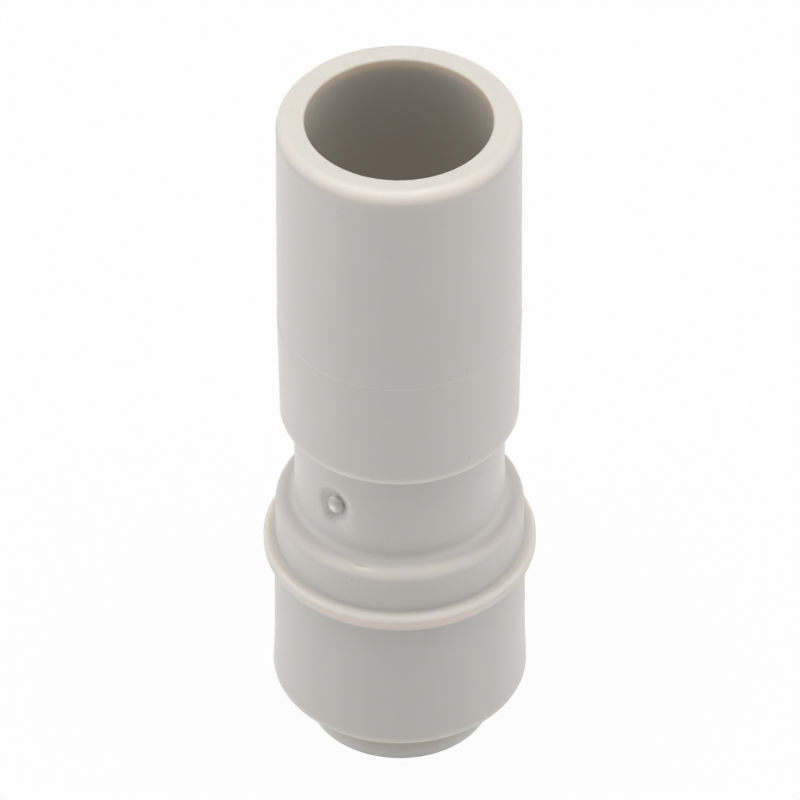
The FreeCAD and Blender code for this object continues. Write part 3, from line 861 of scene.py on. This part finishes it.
def cut_gate_mark(piece):
    """Replaces a window of the neck's faces by the rings of the gate mark."""
    shape = bmesh.new()
    shape.from_mesh(piece.data)
    window = []
    for face in shape.faces:
        middle = face.calc_center_median()
        if abs(math.hypot(middle.x, middle.y) - neck_radius) > on_surface:
            continue
        place = gate_place(middle)
        if max(abs(place.x), abs(place.y)) < window_half:
            window.append(face)
    paint = window[0].material_index
    inside = {edge for face in window for edge in face.edges}
    rim_edges = [edge for edge in inside if sum(face in window for face in edge.link_faces) == 1]
    bmesh.ops.delete(shape, geom=window, context="FACES_KEEP_BOUNDARY")
    loop = loop_in_order([edge for edge in rim_edges if edge.is_valid])
    starts = [gate_place(vertex.co) for vertex in loop]
    rings = [loop]
    for distance, depth, slant, torn in mark_profile:
        ring = []
        shift = min(max((shift_start - distance) / shift_span, 0), 1)
        for start in starts:
            way = start.normalized()
            proud = way.dot(proud_side)
            sunk = (depth - slant * proud + torn * max(-proud, 0)) * mm
            across = way.x * distance * dish_width * mm + stub_across * shift
            up = way.y * distance * dish_height * mm + stub_up * shift
            ring.append(shape.verts.new(on_neck(across, up, sunk)))
        rings.append(ring)
    made = []
    for outer, inner in zip(rings, rings[1:]):
        for index in range(len(outer)):
            after = (index + 1) % len(outer)
            made.append(shape.faces.new((outer[index], outer[after], inner[after], inner[index])))
    middle = shape.verts.new(on_neck(stub_across, stub_up, mark_profile[-1][1] * mm))
    last = rings[-1]
    for index, vertex in enumerate(last):
        made.append(shape.faces.new((vertex, last[(index + 1) % len(last)], middle)))
    for face in made:
        face.smooth = True
        face.material_index = paint
    loose = [vertex for vertex in shape.verts if not vertex.link_faces]
    bmesh.ops.delete(shape, geom=loose, context="VERTS")
    face_outwards(shape)
    shape.to_mesh(piece.data)
    shape.free()
    return len(window), len(made)


faces_out, faces_in = cut_gate_mark(body_piece)
print(f"gate mark: {faces_out} faces out, {faces_in} faces in")
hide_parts("body")
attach(body_piece, "fitting")

# %% [markdown]
# ## The collet
#
# The release ring and the sprung fingers that grip the tube are one moulding too. Six slots part its
# sleeve into fingers. Because the shape repeats, only one finger's sector is modelled: its section is
# swept from the middle of one slot to the middle of the next, and where the slot is open the sweep stops
# short by the slot's half width. Geometry Nodes then set six sectors round the axis and merge them.

# %% The section of a finger
sector_half = math.pi / finger_count
slot_half = 0.45 * mm
slot_floor = 3.70 * mm
slot_centre = slot_floor + slot_half
head_height = 1.47 * mm
barb_radius = cavity - 0.25 * mm
barb_foot = cam_foot - 0.04 * mm / cam_rise
barb_full = barb_foot + (barb_radius - sleeve_radius) / cam_rise
tip_break = 0.50 * mm
slot_arc_steps = 8


def slot_rows():
    """The heights at which both walls of a finger need a point, from the slot's floor upwards."""
    arc = [slot_centre - slot_half * math.cos(step / slot_arc_steps * math.pi / 2)
           for step in range(slot_arc_steps + 1)]
    upper = [barb_foot, barb_full, (barb_full + finger_tips) / 2, finger_tips - tip_break]
    return arc + [height for height in upper if height > slot_centre + 0.05 * mm]


def finger_outside(height):
    """The radius of the sleeve and its barb at a height."""
    slope = sleeve_radius + (height - barb_foot) * cam_rise
    return min(max(slope, sleeve_radius), barb_radius)


def slot_gap(height):
    """Half the width of the slot at a height."""
    if height <= slot_floor:
        return 0
    if height >= slot_centre:
        return slot_half
    return math.sqrt(max(slot_half ** 2 - (slot_centre - height) ** 2, 0))


foot_corners = [
    (tube_bore, 0.80 * mm, 0.20 * mm),
    (tube_bore + 0.50 * mm, 0, 0.06 * mm),
    (head_radius, 0, 0.12 * mm),
    (head_radius, head_height, 0.12 * mm),
    (sleeve_radius, head_height, 0.15 * mm),
]
rows = slot_rows()
outer_wall = [(finger_outside(height), height, 0) for height in rows]
inner_wall = [(tube_bore, height, 0) for height in reversed(rows)]
tip_corners = [(barb_radius - tip_break, finger_tips, 0), (tube_bore, finger_tips, 0)]
finger_points = rounded_outline(foot_corners + outer_wall + tip_corners + inner_wall)
print("finger section:", len(finger_points), "points")


# %% One sector, and six of them
def finger_sector(columns):
    """The sector of one finger about the X axis, open where it meets its neighbours."""
    shape = bmesh.new()
    grid = []
    for column in range(columns + 1):
        share = 2 * column / columns - 1
        ring = []
        for point in finger_points:
            reach = sector_half - math.asin(slot_gap(point.y) / point.x)
            angle = share * reach
            ring.append(shape.verts.new((point.x * math.cos(angle), point.x * math.sin(angle), point.y)))
        grid.append(ring)
    count = len(finger_points)
    for left, right in zip(grid, grid[1:]):
        for index in range(count):
            after = (index + 1) % count
            shape.faces.new((left[index], left[after], right[after], right[index]))
    first_outer = next(i for i, point in enumerate(finger_points)
                       if point.y >= slot_floor and point.x > tube_bore + 0.1 * mm)
    for ring in (grid[0], grid[-1]):
        low, high = first_outer, count - 1
        while high - low > 1:
            corners = [ring[low], ring[low + 1], ring[high - 1], ring[high]]
            if high - low == 2:
                corners = [ring[low], ring[low + 1], ring[high]]
            shape.faces.new(corners)
            low += 1
            high -= 1
    mesh = bpy.data.meshes.new("finger_sector")
    shape.to_mesh(mesh)
    shape.free()
    return mesh


def make_repeat_tree():
    """Sets copies of a piece round the Z axis and merges what meets."""
    tree, given, result = geometry_tree("repeat_round_axis", count="Int", start_angle="Float",
                                        merge_distance="Float", smooth_angle="Float",
                                        material="Material")
    points = tree.add("GeometryNodePoints", inputs={"Count": given["Count"]}).outputs[0]
    index = tree.add("GeometryNodeInputIndex").outputs[0]
    pitch = tree.math("DIVIDE", math.tau, given["Count"])
    angle = tree.math("MULTIPLY_ADD", index, pitch, given["Start angle"])
    turn = tree.add("ShaderNodeCombineXYZ", inputs={2: angle}).outputs[0]
    copies = tree.add("GeometryNodeInstanceOnPoints",
                      inputs={"Points": points, "Instance": given["Geometry"], "Rotation": turn})
    real = tree.add("GeometryNodeRealizeInstances", inputs={"Geometry": copies.outputs[0]}).outputs[0]
    merged = tree.add("GeometryNodeMergeByDistance",
                      inputs={"Geometry": real, "Distance": given["Merge distance"]}).outputs[0]
    painted = sharpen_and_paint(tree, merged, given["Material"], given["Smooth angle"])
    tree.feed(result[0], painted)
    return tree.tree


repeat_tree = make_repeat_tree()
collet_piece = grown("gripping_collet", finger_sector(columns=24), repeat_tree, count=finger_count,
                     start_angle=sector_half, merge_distance=merge_reach, smooth_angle=math.radians(32),
                     material=collet_acetal)
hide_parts("collet")
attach(collet_piece, "collet")
print("collet:", len(collet_piece.data.polygons), "faces")

# %% [markdown]
# ## The teeth
#
# A stainless tooth is moulded into each finger. It slopes up towards the tube stop, so a tube slides in
# past it and can't slide back out. One tooth is a flat strip with two ground points.

# %% One tooth, and six of them
tooth_slope = math.radians(30)
tooth_tip = Vector((tube_bore - 0.16 * mm, finger_tips - 1.05 * mm))
tooth_length = 1.40 * mm
tooth_thickness = 0.25 * mm
tooth_width = 1.70 * mm
tooth_bevel = 0.30 * mm
tooth_notch = 0.35 * mm
tooth_edge = 0.012 * mm


def tooth_mesh():
    """One tooth about the X axis: its lower face ends in two points, its upper face is ground back."""
    along = Vector((math.cos(tooth_slope), -math.sin(tooth_slope)))
    upward = Vector((math.sin(tooth_slope), math.cos(tooth_slope)))
    half = tooth_width / 2
    outline = [
        (tooth_length, -half),
        (tooth_notch, -half),
        (0, -half / 2),
        (tooth_notch, 0),
        (0, half / 2),
        (tooth_notch, half),
        (tooth_length, half),
    ]
    shape = bmesh.new()
    faces = []
    for lift in (0, tooth_thickness):
        ring = []
        for run, across in outline:
            ground = tooth_bevel if lift and run < tooth_length else 0
            place = tooth_tip + along * (run + ground) + upward * lift
            ring.append(shape.verts.new((place.x, across, place.y)))
        faces.append(ring)
    lower, upper = faces
    shape.faces.new(lower)
    shape.faces.new(reversed(upper))
    for index in range(len(outline)):
        after = (index + 1) % len(outline)
        shape.faces.new((lower[index], upper[index], upper[after], lower[after]))
    bmesh.ops.bevel(shape, geom=shape.edges, offset=tooth_edge, segments=1, affect="EDGES")
    mesh = bpy.data.meshes.new("tooth")
    shape.to_mesh(mesh)
    shape.free()
    return mesh


teeth_piece = grown("grip_teeth", tooth_mesh(), repeat_tree, count=finger_count,
                    start_angle=sector_half, merge_distance=0, smooth_angle=math.radians(32),
                    material=steel)
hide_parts(*tooth_nodes)
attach(teeth_piece, "collet")
print("teeth:", len(teeth_piece.data.polygons), "faces")

# %% [markdown]
# ## The sealing ring
#
# A black rubber ring sits under the step where the tube's seat begins. Its section is a circle, so its
# outline is worked out by a formula and turned by the same tree as the body.

# %% The sealing ring
seal_sides, seal_steps = 40, 128
seal_middle = Vector((seal_outside - seal_section / 2, (seal_low + seal_high) / 2))
seal_points = [seal_middle + Vector((math.cos(turn), math.sin(turn))) * seal_section / 2
               for turn in (math.tau * step / seal_sides for step in range(seal_sides))]
seal_piece = grown("sealing_ring", outline_mesh("seal_outline", seal_points), turning_tree,
                   steps=seal_steps, smooth_angle=math.radians(40), material=rubber)
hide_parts("o_ring")
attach(seal_piece, "fitting")
print("sealing ring:", len(seal_piece.data.polygons), "faces")

# %% [markdown]
# ## Floor, light and camera
#
# The photograph is a catalogue picture: pure white all round, soft light from both sides and from
# above, and a darker front where the camera stands. The fitting stands on a white floor. The camera is
# a long lens 41 degrees above the horizon. Its distance and lens were found by fitting the outline of
# the photograph to circles on one axis.

# %% Floor
card_colour = (0.58, 0.58, 0.58, 1)
glow_share = 0.96
floor_radius = 1.5


def in_sight(tree):
    """1 for rays from the camera and off glossy or clear surfaces, 0 for all other light."""
    ray = tree.add("ShaderNodeLightPath").outputs
    return Sum(tree, ray["Is Camera Ray"]) + ray["Is Glossy Ray"] + ray["Is Transmission Ray"]


def white_floor():
    """Nearly white to the camera and in reflections, a plain pale floor to all other light."""
    finish = Finish("floor_white")
    share = in_sight(finish) * glow_share
    card = finish.add("ShaderNodeBsdfDiffuse", inputs={"Color": card_colour}).outputs[0]
    glow = finish.add("ShaderNodeEmission", inputs={"Strength": 1.0}).outputs[0]
    mixed = finish.add("ShaderNodeMixShader", inputs={0: share, 1: card, 2: glow}).outputs[0]
    finish.add("ShaderNodeOutputMaterial", inputs={"Surface": mixed})
    return finish.material


floor_mesh = bpy.data.meshes.new("floor")
floor_shape = bmesh.new()
bmesh.ops.create_circle(floor_shape, cap_ends=True, segments=96, radius=floor_radius)
floor_shape.to_mesh(floor_mesh)
floor_shape.free()
floor = plain_object("floor", floor_mesh)
floor.location.z = -0.01 * mm
floor.data.materials.append(white_floor())
print("floor:", 2 * floor_radius, "m across")

# %% Light
world = bpy.data.worlds.new("studio")
bpy.context.scene.world = world
world.use_nodes = True
sky = NodeTree(world.node_tree)
sky.tree.nodes.clear()
backdrop = sky.add("ShaderNodeBackground", inputs={"Color": (1, 1, 1, 1), "Strength": in_sight(sky)})
sky.add("ShaderNodeOutputWorld", inputs={"Surface": backdrop.outputs[0]})
box_distance = 0.60
box_size = 0.50


def soft_box(name, bearing, elevation, power):
    """A square lamp that faces the fitting from a bearing round it and an elevation, in degrees."""
    lamp = bpy.data.lights.new(name, "AREA")
    lamp.size = box_size
    lamp.energy = power
    turn, lift = math.radians(bearing), math.radians(elevation)
    out = Vector((math.sin(turn) * math.cos(lift), -math.cos(turn) * math.cos(lift), math.sin(lift)))
    holder = bpy.data.objects.new(name, lamp)
    holder.location = Vector((0, 0, stem_end / 2)) + out * box_distance
    holder.rotation_euler = (-out).to_track_quat("-Z", "Y").to_euler()
    bpy.context.scene.collection.objects.link(holder)
    return holder


lamps = [
    # name, bearing, elevation and power in watts
    soft_box("left_box", -90, 3, 2.55),
    soft_box("right_box", 90, 3, 2.10),
    soft_box("left_front_box", -45, 20, 0.78),
    soft_box("right_front_box", 45, 20, 0.76),
    soft_box("left_high_box", -90, 55, 0.30),
    soft_box("right_high_box", 90, 55, 0.42),
    soft_box("top_box", 0, 90, 2.33),
    soft_box("front_top_box", 0, 76, 0.45),
    soft_box("back_top_box", 180, 62, 1.02),
]
print("lamps:", [lamp.name for lamp in lamps])

# %% Camera
camera_elevation = math.radians(41.181)
camera_distance = 444.45 * mm
camera_roll = math.radians(-0.10)
aim_height = 21.22 * mm
half_pixel = 0.5 / 800
camera_data = bpy.data.cameras.new("camera")
camera_data.sensor_width = 36
camera_data.lens = 382.5
camera_data.shift_x = half_pixel
camera_data.clip_start = 0.01
camera = bpy.data.objects.new("camera", camera_data)
camera.location = (0, -math.cos(camera_elevation) * camera_distance,
                   aim_height + math.sin(camera_elevation) * camera_distance)
lifted = Matrix.Rotation(math.pi / 2 - camera_elevation, 3, "X")
camera.rotation_euler = (lifted @ Matrix.Rotation(camera_roll, 3, "Z")).to_euler()
bpy.context.scene.collection.objects.link(camera)
bpy.context.scene.camera = camera
bpy.context.scene.view_settings.view_transform = "Standard"
print(f"camera: {camera_data.lens:.1f} mm lens, {camera_distance * 1000:.0f} mm from the axis")
